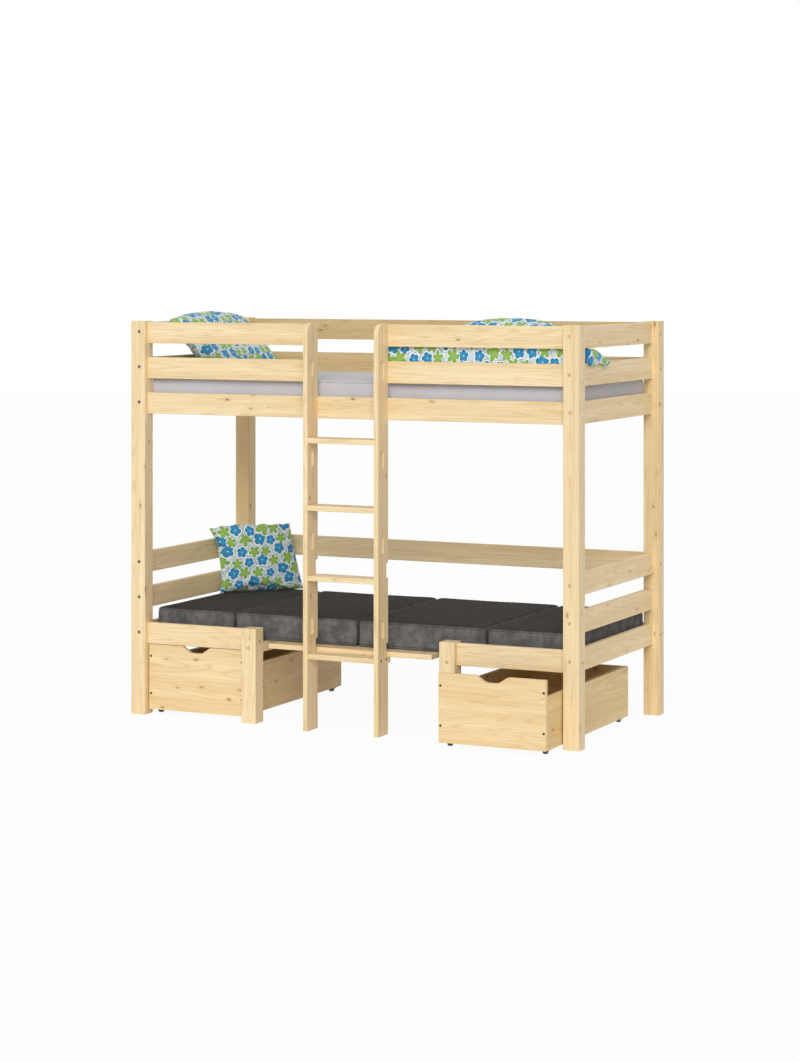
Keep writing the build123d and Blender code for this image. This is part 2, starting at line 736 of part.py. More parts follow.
upper_pillow_width = 700
upper_pillow_height = 372
upper_pillow_thick = 118
upper_pillow_lean = 42
upper_pillow_foot_gap = 251
upper_pillow_rise = 3
mattress_top = mattress_bottom + soft_rest + mattress_thick
lean_cos = math.cos(math.radians(upper_pillow_lean))
lean_sin = math.sin(math.radians(upper_pillow_lean))
upper_pillow_plane = Plane(
    origin=(
        upper_pillow_foot_gap - end_board_in_x - lean_sin * upper_pillow_height / 2,
        mid_y,
        mattress_top + upper_pillow_rise + lean_cos * upper_pillow_height / 2,
    ),
    x_dir=(0, 1, 0),
    z_dir=(lean_cos, 0, lean_sin),
)
make_pillow(
    "pillow_upper",
    upper_pillow_plane,
    upper_pillow_width,
    upper_pillow_height,
    upper_pillow_thick,
    0,
    (0.05, 0.08, 0.05, 0.08),
)

# Duvet, rolled along the front guard. One corner of it comes out through the gap between
# the right end boards and hangs down over the middle one.
duvet_end_gap = 23
duvet_width = 350
duvet_height = 256
duvet_start_x = 150
duvet_guard_gap = 2
duvet_section_shares = ((0, 0.5), (0.12, 0.78), (0.36, 0.96), (0.8, 1), (1, 0.84))
duvet_outline_shares = ((0, 0), (0, 0.6), (0.07, 0.88), (0.36, 1), (0.66, 0.9), (0.9, 0.56), (1, 0))
flap_start = 335
flap_width = 225
flap_thick = 34
flap_hang = 42
flap_hang_thick = 15
flap_round = 12
duvet_bottom = mattress_top + soft_rest
duvet_front_y = rail_in_front_y + duvet_guard_gap
duvet_length = end_board_in_x - duvet_end_gap - duvet_start_x
flap_level = guard_mid_top + soft_rest
flap_inner_x = end_board_x + soft_rest
flap_outer_x = flap_inner_x + flap_hang_thick

with BuildPart() as duvet:
    for place_share, size_share in duvet_section_shares:
        wide = size_share * duvet_width
        high = size_share * duvet_height
        with BuildSketch(Plane.YZ.offset(duvet_start_x + place_share * duvet_length)):
            with BuildLine():
                Polyline(
                    [
                        (duvet_front_y + width_share * wide, duvet_bottom + height_share * high)
                        for width_share, height_share in duvet_outline_shares
                    ],
                    close=True,
                )
            make_face()
    loft(ruled=True)
    with BuildSketch(Plane.XZ.offset(-mid_y + flap_start)) as flap:
        with BuildLine():
            Polyline(
                (duvet_start_x + duvet_length - flap_width, flap_level),
                (flap_inner_x, flap_level),
                (flap_inner_x, flap_level - flap_hang),
                (flap_outer_x, flap_level - flap_hang),
                (flap_outer_x, flap_level + flap_thick),
                (duvet_start_x + duvet_length - flap_width, flap_level + flap_thick),
                close=True,
            )
        make_face()
        fillet(flap.vertices().sort_by(Axis.X)[-1:], radius=flap_round)
    extrude(amount=-flap_width)
save(duvet, "duvet")
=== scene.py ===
import bpy
import bmesh
import math
from mathutils import Matrix, Vector, noise


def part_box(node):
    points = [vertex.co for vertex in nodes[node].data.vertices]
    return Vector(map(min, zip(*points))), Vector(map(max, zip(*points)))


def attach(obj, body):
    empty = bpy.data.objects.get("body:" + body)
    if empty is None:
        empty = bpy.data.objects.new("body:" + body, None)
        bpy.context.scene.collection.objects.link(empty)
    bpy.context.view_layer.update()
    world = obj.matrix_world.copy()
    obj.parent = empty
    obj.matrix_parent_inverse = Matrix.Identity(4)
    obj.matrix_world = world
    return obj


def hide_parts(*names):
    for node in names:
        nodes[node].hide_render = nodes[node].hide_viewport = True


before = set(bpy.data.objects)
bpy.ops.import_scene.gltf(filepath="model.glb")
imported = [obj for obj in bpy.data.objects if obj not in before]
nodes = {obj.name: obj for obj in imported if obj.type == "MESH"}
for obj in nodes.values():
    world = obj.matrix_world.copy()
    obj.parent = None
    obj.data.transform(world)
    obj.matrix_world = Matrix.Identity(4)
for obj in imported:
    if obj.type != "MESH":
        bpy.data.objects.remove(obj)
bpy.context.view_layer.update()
print("frame loaded,", len(nodes), "nodes")


def middleOf(node):
    low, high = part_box(node)
    return (Vector(low) + Vector(high)) / 2


# camera, found by solving the photograph's perspective
photoView = {
    "place": (4.9986, -10.3575, 1.9656),
    "turnDegrees": 25.526,
    "lensMm": 88.94,
    "shiftY": -0.2477,
}
cameraData = bpy.data.cameras.new("photoCamera")
cameraData.lens = photoView["lensMm"]
cameraData.sensor_width = 36
cameraData.shift_y = photoView["shiftY"]
cameraData.clip_end = 100
camera = bpy.data.objects.new("photoCamera", cameraData)
camera.location = photoView["place"]
camera.rotation_euler = (math.radians(90), 0, math.radians(photoView["turnDegrees"]))
bpy.context.collection.objects.link(camera)
bpy.context.scene.camera = camera


# small helpers for materials
def newMaterial(name, roughness):
    material = bpy.data.materials.new(name)
    material.use_nodes = True
    shader = material.node_tree.nodes["Principled BSDF"]
    shader.inputs["Roughness"].default_value = roughness
    return material, material.node_tree, shader


def addNode(tree, kind, **settings):
    node = tree.nodes.new(kind)
    for key, value in settings.items():
        setattr(node, key, value)
    return node


def objectCoords(tree, scale=(1, 1, 1), turn=(0, 0, 0), shift=(0, 0, 0)):
    coords = addNode(tree, "ShaderNodeTexCoord")
    mapping = addNode(tree, "ShaderNodeMapping")
    mapping.inputs["Scale"].default_value = scale
    mapping.inputs["Rotation"].default_value = turn
    mapping.inputs["Location"].default_value = shift
    tree.links.new(coords.outputs["Object"], mapping.inputs["Vector"])
    return mapping.outputs["Vector"]


def noiseOf(tree, vector, scale, detail=3, roughness=0.5, distortion=0):
    texture = addNode(tree, "ShaderNodeTexNoise")
    texture.inputs["Scale"].default_value = scale
    texture.inputs["Detail"].default_value = detail
    texture.inputs["Roughness"].default_value = roughness
    texture.inputs["Distortion"].default_value = distortion
    tree.links.new(vector, texture.inputs["Vector"])
    return texture.outputs["Fac"]


def rampOf(tree, value, stops):
    ramp = addNode(tree, "ShaderNodeValToRGB")
    while len(ramp.color_ramp.elements) < len(stops):
        ramp.color_ramp.elements.new(0.5)
    for element, (place, colour) in zip(ramp.color_ramp.elements, stops):
        element.position = place
        element.color = (*colour, 1) if len(colour) == 3 else colour
    tree.links.new(value, ramp.inputs["Fac"])
    return ramp.outputs["Color"]


def greyStops(*pairs):
    return [(place, (level, level, level)) for place, level in pairs]


def mixOf(tree, amount, first, second, blend="MIX"):
    mix = addNode(tree, "ShaderNodeMix", data_type="RGBA", blend_type=blend)
    for socket, value in ((mix.inputs[0], amount), (mix.inputs[6], first), (mix.inputs[7], second)):
        if isinstance(value, bpy.types.NodeSocket):
            tree.links.new(value, socket)
        elif isinstance(value, tuple):
            socket.default_value = (*value, 1)
        else:
            socket.default_value = value
    return mix.outputs[2]


def mathOf(tree, operation, first, second=None):
    step = addNode(tree, "ShaderNodeMath", operation=operation)
    for socket, value in zip(step.inputs, (first, second)):
        if isinstance(value, bpy.types.NodeSocket):
            tree.links.new(value, socket)
        elif value is not None:
            socket.default_value = value
    return step.outputs[0]


def bumpFrom(tree, shader, height, strength, distance):
    bump = addNode(tree, "ShaderNodeBump")
    bump.inputs["Strength"].default_value = strength
    bump.inputs["Distance"].default_value = distance
    tree.links.new(height, bump.inputs["Height"])
    tree.links.new(bump.outputs["Normal"], shader.inputs["Normal"])


# pine: cream boards with honey growth lines and small brown knots
pine = {
    "light": (0.94, 0.775, 0.49),
    "honey": (0.78, 0.56, 0.27),
    "line": (0.60, 0.37, 0.14),
    "knot": (0.26, 0.125, 0.045),
    "roughness": 0.48,
    "lateGloss": -0.08,
    "knotsPerMetre": 15.5,
    "knotStretch": 0.42,
    "knotWobble": 0.012,
    "ringCount": 22,
    # how far each layer is drawn out along the grain, and how fine it is across it
    "figure": (0.045, 13),
    "bands": (0.03, 26),
    "fine": (0.025, 330),
    "dash": (0.14, 62),
    # how strongly each layer colours the board
    "bandShare": 0.58,
    "lateShare": 0.36,
    "fineShare": 0.2,
    "dashShare": 0.42,
    "haloShare": 0.42,
    "heartShare": 0.8,
    "staveShare": 0.3,
    "jointShare": 0.35,
    "jointWidth": 0.03,
}
grainTurns = {"x": (0, 0, 0), "y": (0, 0, math.radians(-90)), "z": (0, math.radians(90), 0)}


def stretchedBy(tree, vector, along):
    mapping = addNode(tree, "ShaderNodeMapping")
    mapping.inputs["Scale"].default_value = (along, 1, 1)
    tree.links.new(vector, mapping.inputs["Vector"])
    return mapping.outputs["Vector"]


def pineLayer(tree, along, layer, **settings):
    stretch, scale = pine[layer]
    return noiseOf(tree, stretchedBy(tree, along, stretch), scale, detail=2, **settings)


def tinged(tree, colour, mask, share, shade):
    return mixOf(tree, mathOf(tree, "MULTIPLY", mask, pine[share]), colour, pine[shade])


def pineMaterial(name, grain, tint=(1, 1, 1), staves=0, shift=0):
    material, tree, shader = newMaterial(name, pine["roughness"])
    along = objectCoords(tree, turn=grainTurns[grain], shift=(shift, 0.13 * shift, 0.21 * shift))
    # growth lines: level curves of a slow noise, drawn out along the grain
    figure = pineLayer(tree, along, "figure", roughness=0.4, distortion=0.15)
    rings = mathOf(tree, "PINGPONG", mathOf(tree, "MULTIPLY", figure, pine["ringCount"]), 0.5)
    lateStops = greyStops((0.0, 0.0), (0.6, 0.1), (0.95, 0.9), (1.0, 0.8))
    late = rampOf(tree, mathOf(tree, "MULTIPLY", rings, 2), lateStops)
    # broad soft bands, fine pores, and short darker dashes
    bands = rampOf(tree, pineLayer(tree, along, "bands"), greyStops((0.36, 0.0), (0.66, 1.0)))
    fine = rampOf(tree, pineLayer(tree, along, "fine"), greyStops((0.4, 0.0), (0.66, 1.0)))
    dash = rampOf(tree, pineLayer(tree, along, "dash", roughness=0.6), greyStops((0.66, 0.0), (0.76, 1.0)))
    colour = tinged(tree, pine["light"], bands, "bandShare", "honey")
    colour = tinged(tree, colour, late, "lateShare", "line")
    colour = tinged(tree, colour, fine, "fineShare", "line")
    colour = tinged(tree, colour, dash, "dashShare", "line")
    # small knots, longer along the grain, each in a darker halo
    knots = addNode(tree, "ShaderNodeTexVoronoi")
    knots.inputs["Scale"].default_value = pine["knotsPerMetre"]
    knots.inputs["Randomness"].default_value = 1
    wobble = addNode(tree, "ShaderNodeTexNoise")
    wobble.inputs["Scale"].default_value = 60
    tree.links.new(along, wobble.inputs["Vector"])
    pushed = addNode(tree, "ShaderNodeMix", data_type="VECTOR")
    pushed.inputs[0].default_value = pine["knotWobble"]
    tree.links.new(stretchedBy(tree, along, pine["knotStretch"]), pushed.inputs[4])
    tree.links.new(wobble.outputs["Color"], pushed.inputs[5])
    tree.links.new(pushed.outputs[1], knots.inputs["Vector"])
    heart = rampOf(tree, knots.outputs["Distance"], greyStops((0.0, 1.0), (0.06, 0.75), (0.1, 0.0)))
    halo = rampOf(tree, knots.outputs["Distance"], greyStops((0.0, 1.0), (0.1, 0.5), (0.25, 0.0)))
    colour = tinged(tree, colour, halo, "haloShare", "line")
    colour = tinged(tree, colour, heart, "heartShare", "knot")
    if staves:
        # glued staves: each runs along the grain with its own slight tone and a fine joint
        across = addNode(tree, "ShaderNodeSeparateXYZ")
        tree.links.new(along, across.inputs[0])
        strip = mathOf(tree, "DIVIDE", across.outputs["Z"], staves)
        pick = addNode(tree, "ShaderNodeTexWhiteNoise", noise_dimensions="1D")
        tree.links.new(mathOf(tree, "FLOOR", strip), pick.inputs["W"])
        colour = tinged(tree, colour, pick.outputs["Value"], "staveShare", "honey")
        joint = mathOf(tree, "LESS_THAN", mathOf(tree, "FRACT", strip), pine["jointWidth"])
        colour = tinged(tree, colour, joint, "jointShare", "line")
    if min(tint) < 1:
        colour = mixOf(tree, 1.0, colour, tint, blend="MULTIPLY")
    tree.links.new(colour, shader.inputs["Base Color"])
    gloss = mathOf(tree, "ADD", mathOf(tree, "MULTIPLY", late, pine["lateGloss"]), pine["roughness"])
    tree.links.new(gloss, shader.inputs["Roughness"])
    bumpFrom(tree, shader, mathOf(tree, "ADD", late, fine), 0.1, 0.0004)
    return material


pineX = pineMaterial("pineAlongX", "x")
pineY = pineMaterial("pineAlongY", "y", tint=(1, 0.99, 0.97), shift=3.1)
pineZ = pineMaterial("pineAlongZ", "z", shift=5.7)
# the rear guard boards and rear bed rail are tinted darker and warmer than the front boards: painted shade
# for the rear of the frame
pineRearPaintedShade = pineMaterial("pineRearBoardsPaintedShade", "x", tint=(0.74, 0.70, 0.60), shift=2.3)
# the rear posts are tinted a little darker and warmer than the front posts: painted shade for the rear of the
# frame
pineRearPostPaintedShade = pineMaterial("pineRearPostsPaintedShade", "z", tint=(0.97, 0.945, 0.86), shift=6.4)
pineFront = pineMaterial("pineDrawerFront", "x", tint=(0.99, 0.965, 0.92), staves=0.047, shift=1.7)
pineDrawerSide = pineMaterial("pineDrawerSide", "y", tint=(0.90, 0.85, 0.70), staves=0.052, shift=4.4)
pineSlat = pineMaterial("pineSlat", "y", tint=(0.93, 0.916, 0.89), shift=7.3)
pineSeatSlat = pineMaterial("pineSeatSlat", "x", tint=(0.93, 0.916, 0.89), shift=8.9)
panelWood = pineMaterial("drawerPanelWood", "y", tint=(0.82, 0.81, 0.79), shift=9.4)
print("pine ready")


# metal, plastic and plugs
def fleckedMaterial(name, dark, light, roughness, metallic, scale):
    material, tree, shader = newMaterial(name, roughness)
    flecks = noiseOf(tree, objectCoords(tree), scale, detail=4)
    tree.links.new(rampOf(tree, flecks, [(0.35, dark), (0.7, light)]), shader.inputs["Base Color"])
    spread = rampOf(tree, flecks, greyStops((0.3, roughness - 0.08), (0.7, roughness + 0.1)))
    tree.links.new(spread, shader.inputs["Roughness"])
    shader.inputs["Metallic"].default_value = metallic
    bumpFrom(tree, shader, flecks, 0.1, 0.0002)
    return material


boltMetal = fleckedMaterial("boltMetal", (0.05, 0.035, 0.025), (0.11, 0.075, 0.05), 0.45, 0.6, 300)
wheelPlastic = fleckedMaterial("wheelPlastic", (0.012, 0.012, 0.013), (0.03, 0.03, 0.032), 0.5, 0, 400)
plugWood = fleckedMaterial("plugWood", (0.66, 0.47, 0.26), (0.85, 0.68, 0.44), 0.55, 0, 500)
palePlug = fleckedMaterial("palePlug", (0.50, 0.33, 0.15), (0.78, 0.60, 0.35), 0.6, 0, 420)
# near-white plugs for the end face: the white is a painted highlight on wood plugs
plugPaintedHighlight = fleckedMaterial("plugPaintedHighlight", (0.80, 0.76, 0.68), (0.95, 0.93, 0.88), 0.5, 0, 420)
brownPlug = fleckedMaterial("brownPlug", (0.10, 0.07, 0.03), (0.24, 0.18, 0.08), 0.6, 0, 420)


# cloth: mottled suede, woven mattress cover, printed cotton
suede = {
    "deep": (0.040, 0.037, 0.035),
    # the top colour is darker than the side colour: painted shade on the upward faces; the streaks on the
    # sides also darken towards it
    "top": (0.060, 0.056, 0.054),
    "side": (0.105, 0.102, 0.101),
    "pale": (0.215, 0.211, 0.209),
    "roughness": 0.92,
    "cloudScale": 17,
    "streakScale": 38,
    "napScale": 700,
    "sideClouds": 0.75,
    "sideStreaks": 0.3,
    "topClouds": 0.7,
}


def suedeMaterial():
    material, tree, shader = newMaterial("greySuede", suede["roughness"])
    coords = objectCoords(tree)
    clouds = noiseOf(tree, coords, suede["cloudScale"], detail=6, roughness=0.72)
    clouds = rampOf(tree, clouds, greyStops((0.40, 0.0), (0.64, 1.0)))
    # brushed streaks run down the sides, where the nap was stroked
    brushed = objectCoords(tree, scale=(1, 1, 0.3))
    streaks = noiseOf(tree, brushed, suede["streakScale"], detail=4, roughness=0.65)
    streaks = rampOf(tree, streaks, greyStops((0.46, 0.0), (0.68, 1.0)))
    # upward faces take the darker top colours and the sides the paler ones, mixed by facing direction:
    # painted shade on the tops
    facing = addNode(tree, "ShaderNodeNewGeometry")
    split = addNode(tree, "ShaderNodeSeparateXYZ")
    tree.links.new(facing.outputs["Normal"], split.inputs[0])
    topShadeMask = rampOf(tree, split.outputs["Z"], greyStops((0.35, 0.0), (0.9, 1.0)))
    paler = mathOf(tree, "MULTIPLY", clouds, suede["sideClouds"])
    darker = mathOf(tree, "MULTIPLY", streaks, suede["sideStreaks"])
    sides = mixOf(tree, darker, mixOf(tree, paler, suede["side"], suede["pale"]), suede["top"])
    mottled = mathOf(tree, "MULTIPLY", clouds, suede["topClouds"])
    shadedTops = mixOf(tree, mottled, suede["deep"], suede["top"])
    tree.links.new(mixOf(tree, topShadeMask, sides, shadedTops), shader.inputs["Base Color"])
    shader.inputs["Specular IOR Level"].default_value = 0.15
    nap = noiseOf(tree, coords, suede["napScale"], detail=2)
    bumpFrom(tree, shader, mathOf(tree, "ADD", nap, mathOf(tree, "MULTIPLY", clouds, 0.8)), 0.25, 0.0006)
    return material


def wovenMaterial(name, pale, dark, threads, roughness=0.85):
    material, tree, shader = newMaterial(name, roughness)
    coords = objectCoords(tree)
    weave = None
    for direction in ("X", "Y", "Z"):
        wave = addNode(tree, "ShaderNodeTexWave", wave_type="BANDS", bands_direction=direction)
        wave.inputs["Scale"].default_value = threads
        wave.inputs["Distortion"].default_value = 0.4
        tree.links.new(coords, wave.inputs["Vector"])
        weave = wave.outputs["Fac"] if weave is None else mathOf(tree, "ADD", weave, wave.outputs["Fac"])
    weave = mathOf(tree, "DIVIDE", weave, 3)
    clouds = rampOf(tree, noiseOf(tree, coords, 9, detail=4), greyStops((0.35, 0.0), (0.7, 1.0)))
    colour = mixOf(tree, mathOf(tree, "MULTIPLY", clouds, 0.35), pale, dark)
    colour = mixOf(tree, mathOf(tree, "MULTIPLY", weave, 0.18), colour, dark)
    tree.links.new(colour, shader.inputs["Base Color"])
    shader.inputs["Sheen Weight"].default_value = 0.2
    bumpFrom(tree, shader, weave, 0.3, 0.0004)
    return material


printed = {
    "ground": (0.62, 0.71, 0.75),
    "outline": (0.84, 0.92, 0.95),
    "blue": (0.022, 0.29, 0.56),
    "blueDeep": (0.012, 0.17, 0.36),
    "green": (0.17, 0.36, 0.04),
    "greenPale": (0.30, 0.50, 0.09),
    "stem": (0.13, 0.17, 0.19),
    "repeat": 0.054,
    "turnDegrees": 23,
    # shares of one repeat: how far a motif strays, and the range of its scale
    "jitter": 0.34,
    "growFrom": 0.74,
    "growBy": 0.36,
    # inner and outer reach of the lobes, and how sharply they narrow
    "blossom": (0.27, 0.43, 0.6),
    "sprig": (0.19, 0.5, 0.85),
    "halfLobes": 2.5,
    "rim": 1.22,
    "eye": 0.05,
    "curlReach": 0.52,
    "vineSway": 0.24,
    "stemHalf": 0.026,
    "stemShare": 0.75,
    "crumpleScale": 38,
    "threadScale": 900,
}


def printedMaterial():
    material, tree, shader = newMaterial("printedCotton", 0.82)
    chart = addNode(tree, "ShaderNodeUVMap", uv_map="print")
    # the layout is turned on the cloth, so that its rows follow no edge
    laid = addNode(tree, "ShaderNodeMapping")
    laid.inputs["Rotation"].default_value = (0, 0, math.radians(printed["turnDegrees"]))
    tree.links.new(chart.outputs["UV"], laid.inputs["Vector"])
    split = addNode(tree, "ShaderNodeSeparateXYZ")
    tree.links.new(laid.outputs["Vector"], split.inputs[0])
    acrossCells = mathOf(tree, "DIVIDE", split.outputs["X"], printed["repeat"])
    column = mathOf(tree, "FLOOR", acrossCells)
    halfDrop = mathOf(tree, "MULTIPLY", mathOf(tree, "FLOORED_MODULO", column, 2), 0.5)
    upCells = mathOf(tree, "ADD", mathOf(tree, "DIVIDE", split.outputs["Y"], printed["repeat"]), halfDrop)
    row = mathOf(tree, "FLOOR", upCells)
    cellOf = addNode(tree, "ShaderNodeCombineXYZ")
    tree.links.new(column, cellOf.inputs["X"])
    tree.links.new(row, cellOf.inputs["Y"])
    pick = addNode(tree, "ShaderNodeTexWhiteNoise", noise_dimensions="2D")
    tree.links.new(cellOf.outputs[0], pick.inputs["Vector"])
    picked = addNode(tree, "ShaderNodeSeparateColor")
    tree.links.new(pick.outputs["Color"], picked.inputs[0])
    local = addNode(tree, "ShaderNodeCombineXYZ")
    for cells, chance, socket in ((acrossCells, "Red", "X"), (upCells, "Green", "Y")):
        placed = mathOf(tree, "SUBTRACT", mathOf(tree, "FRACT", cells), 0.5)
        strayed = mathOf(tree, "SUBTRACT", picked.outputs[chance], 0.5)
        strayed = mathOf(tree, "MULTIPLY", strayed, printed["jitter"])
        tree.links.new(mathOf(tree, "ADD", placed, strayed), local.inputs[socket])
    reach = addNode(tree, "ShaderNodeVectorMath", operation="LENGTH")
    tree.links.new(local.outputs[0], reach.inputs[0])
    # each motif is a little larger or smaller than the next
    grow = mathOf(tree, "MULTIPLY", picked.outputs["Green"], printed["growBy"])
    grow = mathOf(tree, "ADD", grow, printed["growFrom"])
    reach = mathOf(tree, "MULTIPLY", reach.outputs["Value"], grow)
    polar = addNode(tree, "ShaderNodeSeparateXYZ")
    tree.links.new(local.outputs[0], polar.inputs[0])
    angle = mathOf(tree, "ARCTAN2", polar.outputs["Y"], polar.outputs["X"])
    turned = mathOf(tree, "ADD", angle, mathOf(tree, "MULTIPLY", picked.outputs["Blue"], 2 * math.pi))

    def motif(inner, outer, narrow):
        wave = mathOf(tree, "COSINE", mathOf(tree, "MULTIPLY", turned, printed["halfLobes"]))
        lobe = mathOf(tree, "POWER", mathOf(tree, "ABSOLUTE", wave), narrow)
        edge = mathOf(tree, "ADD", mathOf(tree, "MULTIPLY", lobe, outer - inner), inner)
        share = mathOf(tree, "DIVIDE", reach, edge)
        filled = mathOf(tree, "LESS_THAN", share, 1)
        return filled, mathOf(tree, "LESS_THAN", share, printed["rim"]), share

    blossom, blossomRim, blossomShare = motif(*printed["blossom"])
    sprig, sprigRim, sprigShare = motif(*printed["sprig"])
    kind = mathOf(tree, "FLOORED_MODULO", mathOf(tree, "ADD", row, column), 2)
    # one curl of stem per cell, left open on one side
    curl = mathOf(tree, "ABSOLUTE", mathOf(tree, "SUBTRACT", reach, printed["curlReach"]))
    curl = mathOf(tree, "LESS_THAN", curl, printed["stemHalf"])
    openSide = mathOf(tree, "GREATER_THAN", mathOf(tree, "SINE", turned), -0.35)
    sway = mathOf(tree, "SINE", mathOf(tree, "MULTIPLY", upCells, math.pi))
    sway = mathOf(tree, "MULTIPLY", sway, printed["vineSway"])
    vine = mathOf(tree, "SUBTRACT", mathOf(tree, "ADD", sway, mathOf(tree, "FRACT", acrossCells)), 0.5)
    vine = mathOf(tree, "LESS_THAN", mathOf(tree, "ABSOLUTE", vine), printed["stemHalf"])
    stems = mathOf(tree, "MAXIMUM", mathOf(tree, "MULTIPLY", curl, openSide), vine)
    stems = mathOf(tree, "MULTIPLY", stems, printed["stemShare"])
    colour = mixOf(tree, stems, printed["ground"], printed["stem"])
    blue = mixOf(tree, mathOf(tree, "POWER", blossomShare, 3), printed["blue"], printed["blueDeep"])
    blue = mixOf(tree, mathOf(tree, "LESS_THAN", reach, printed["eye"]), blue, printed["ground"])
    green = mixOf(tree, mathOf(tree, "POWER", sprigShare, 2), printed["greenPale"], printed["green"])
    notKind = mathOf(tree, "SUBTRACT", 1, kind)
    colour = mixOf(tree, mathOf(tree, "MULTIPLY", blossomRim, notKind), colour, printed["outline"])
    colour = mixOf(tree, mathOf(tree, "MULTIPLY", sprigRim, kind), colour, printed["outline"])
    colour = mixOf(tree, mathOf(tree, "MULTIPLY", sprig, kind), colour, green)
    colour = mixOf(tree, mathOf(tree, "MULTIPLY", blossom, notKind), colour, blue)
    tree.links.new(colour, shader.inputs["Base Color"])
    shader.inputs["Sheen Weight"].default_value = 0.15
    coords = objectCoords(tree)
    crumple = noiseOf(tree, coords, printed["crumpleScale"], detail=3)
    threads = noiseOf(tree, coords, printed["threadScale"], detail=1)
    bumpFrom(tree, shader, mathOf(tree, "ADD", crumple, mathOf(tree, "MULTIPLY", threads, 0.1)), 0.35, 0.003)
    return material


greySuede = suedeMaterial()
mattressCover = wovenMaterial("mattressCover", (0.58, 0.57, 0.605), (0.47, 0.46, 0.50), 160)
mattressTape = wovenMaterial("mattressTape", (0.50, 0.49, 0.53), (0.38, 0.37, 0.41), 260)
printedCotton = printedMaterial()
suedeWelt = fleckedMaterial("suedeWelt", (0.014, 0.013, 0.013), (0.03, 0.029, 0.028), 0.95, 0, 600)
print("cloth materials ready")


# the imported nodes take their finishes
sides, halves = ("left", "right"), ("upper", "lower")
finishes = {
    pineZ: [f"{piece}_{side}" for piece in ("post_front", "short_post", "ladder_upright") for side in sides],
    # the rear posts take the darker tint, which is painted shade
    pineRearPostPaintedShade: [f"post_rear_{side}" for side in sides],
    pineX: [f"{piece}_front_{side}" for piece in ("guard_top", "guard_mid", "seat_rail") for side in sides]
    + ["bed_rail_front", "back_board_rear", "seat_rail_rear", "ladder_treads"]
    + ["tabletop", "table_ledger", "table_cleats", "ledgers_upper"],
    # the rear boards take the darker tint, which is painted shade
    pineRearPaintedShade: ["guard_top_rear", "guard_mid_rear", "bed_rail_rear"],
    pineY: [f"end_boards_{half}_{side}" for half in halves for side in sides]
    + ["seat_beam_left", "seat_beam_right", "ledgers_seat"],
    pineSlat: ["slats_upper"],
    pineSeatSlat: ["slats_seat_left", "slats_seat_right"],
    pineFront: [f"drawer_{side}_{piece}" for piece in ("front", "back") for side in sides],
    pineDrawerSide: [f"drawer_{side}_sides" for side in sides],
    panelWood: [f"drawer_{side}_panel" for side in sides],
    boltMetal: ["frame_bolts"] + [f"drawer_{side}_fasteners" for side in sides],
    plugWood: ["ladder_plugs"],
    wheelPlastic: [f"drawer_{side}_wheels_{end}" for side in sides for end in ("front", "rear")],
}
for material, names in finishes.items():
    for name in names:
        node = nodes[name]
        if not node.material_slots:
            node.data.materials.append(material)
        for materialSlot in node.material_slots:
            materialSlot.material = material
print("finishes on the frame")


# helpers for new pieces
scene = bpy.context.scene
sewing = {
    "clothSteps": 20,
    "stillFoot": 0.004,
    "footFade": 0.03,
    "seamSpacing": 0.006,
    "mostSeamPoints": 6000,
}


def newPiece(name, mesh, material):
    piece = bpy.data.objects.new(name, bpy.data.meshes.new(name))
    mesh.to_mesh(piece.data)
    mesh.free()
    piece.data.materials.append(material)
    bpy.context.collection.objects.link(piece)
    return piece


def roundedBlock(low, high, corner, ease):
    mesh = bmesh.new()
    bmesh.ops.create_cube(mesh, size=1)
    low, high = Vector(low), Vector(high)
    bmesh.ops.scale(mesh, vec=high - low, verts=mesh.verts)
    bmesh.ops.translate(mesh, vec=(low + high) / 2, verts=mesh.verts)
    upright = [edge for edge in mesh.edges if abs(edge.verts[0].co.z - edge.verts[1].co.z) > 0.01]
    bmesh.ops.bevel(mesh, geom=upright, offset=corner, affect="EDGES", segments=8, profile=0.5, material=-1)
    rims = [edge for edge in mesh.edges if abs(edge.verts[0].co.z - edge.verts[1].co.z) < 0.001]
    bmesh.ops.bevel(mesh, geom=rims, offset=ease, affect="EDGES", segments=5, profile=0.5, material=-1)
    return mesh


def applyModifiers(piece):
    depsgraph = bpy.context.evaluated_depsgraph_get()
    shaped = bpy.data.meshes.new_from_object(piece.evaluated_get(depsgraph))
    piece.modifiers.clear()
    old = piece.data
    piece.data = shaped
    bpy.data.meshes.remove(old)
    for face in piece.data.polygons:
        face.use_smooth = True


def remeshed(piece, voxel):
    remesh = piece.modifiers.new("remesh", "REMESH")
    remesh.mode = "VOXEL"
    remesh.voxel_size = voxel
    applyModifiers(piece)


def swell(piece, pressure, cap, held=None):
    # blows the cover up from inside, then limits how far any point has moved
    before = [vertex.co.copy() for vertex in piece.data.vertices]
    cloth = piece.modifiers.new("cloth", "CLOTH")
    cloth.settings.use_pressure = True
    cloth.settings.uniform_pressure_force = pressure
    cloth.settings.effector_weights.gravity = 0
    for step in range(1, sewing["clothSteps"] + 1):
        scene.frame_set(step)
    applyModifiers(piece)
    scene.frame_set(1)
    for vertex, start in zip(piece.data.vertices, before):
        move = vertex.co - start
        limit = cap if held is None else cap * held(start)
        if move.length > limit:
            move = move.normalized() * limit
        vertex.co = start + move


def finer(piece):
    subdivision = piece.modifiers.new("finer", "SUBSURF")
    subdivision.levels = 1
    subdivision.render_levels = 1
    applyModifiers(piece)


def outwardOf(piece):
    return [vertex.normal.copy() for vertex in piece.data.vertices]


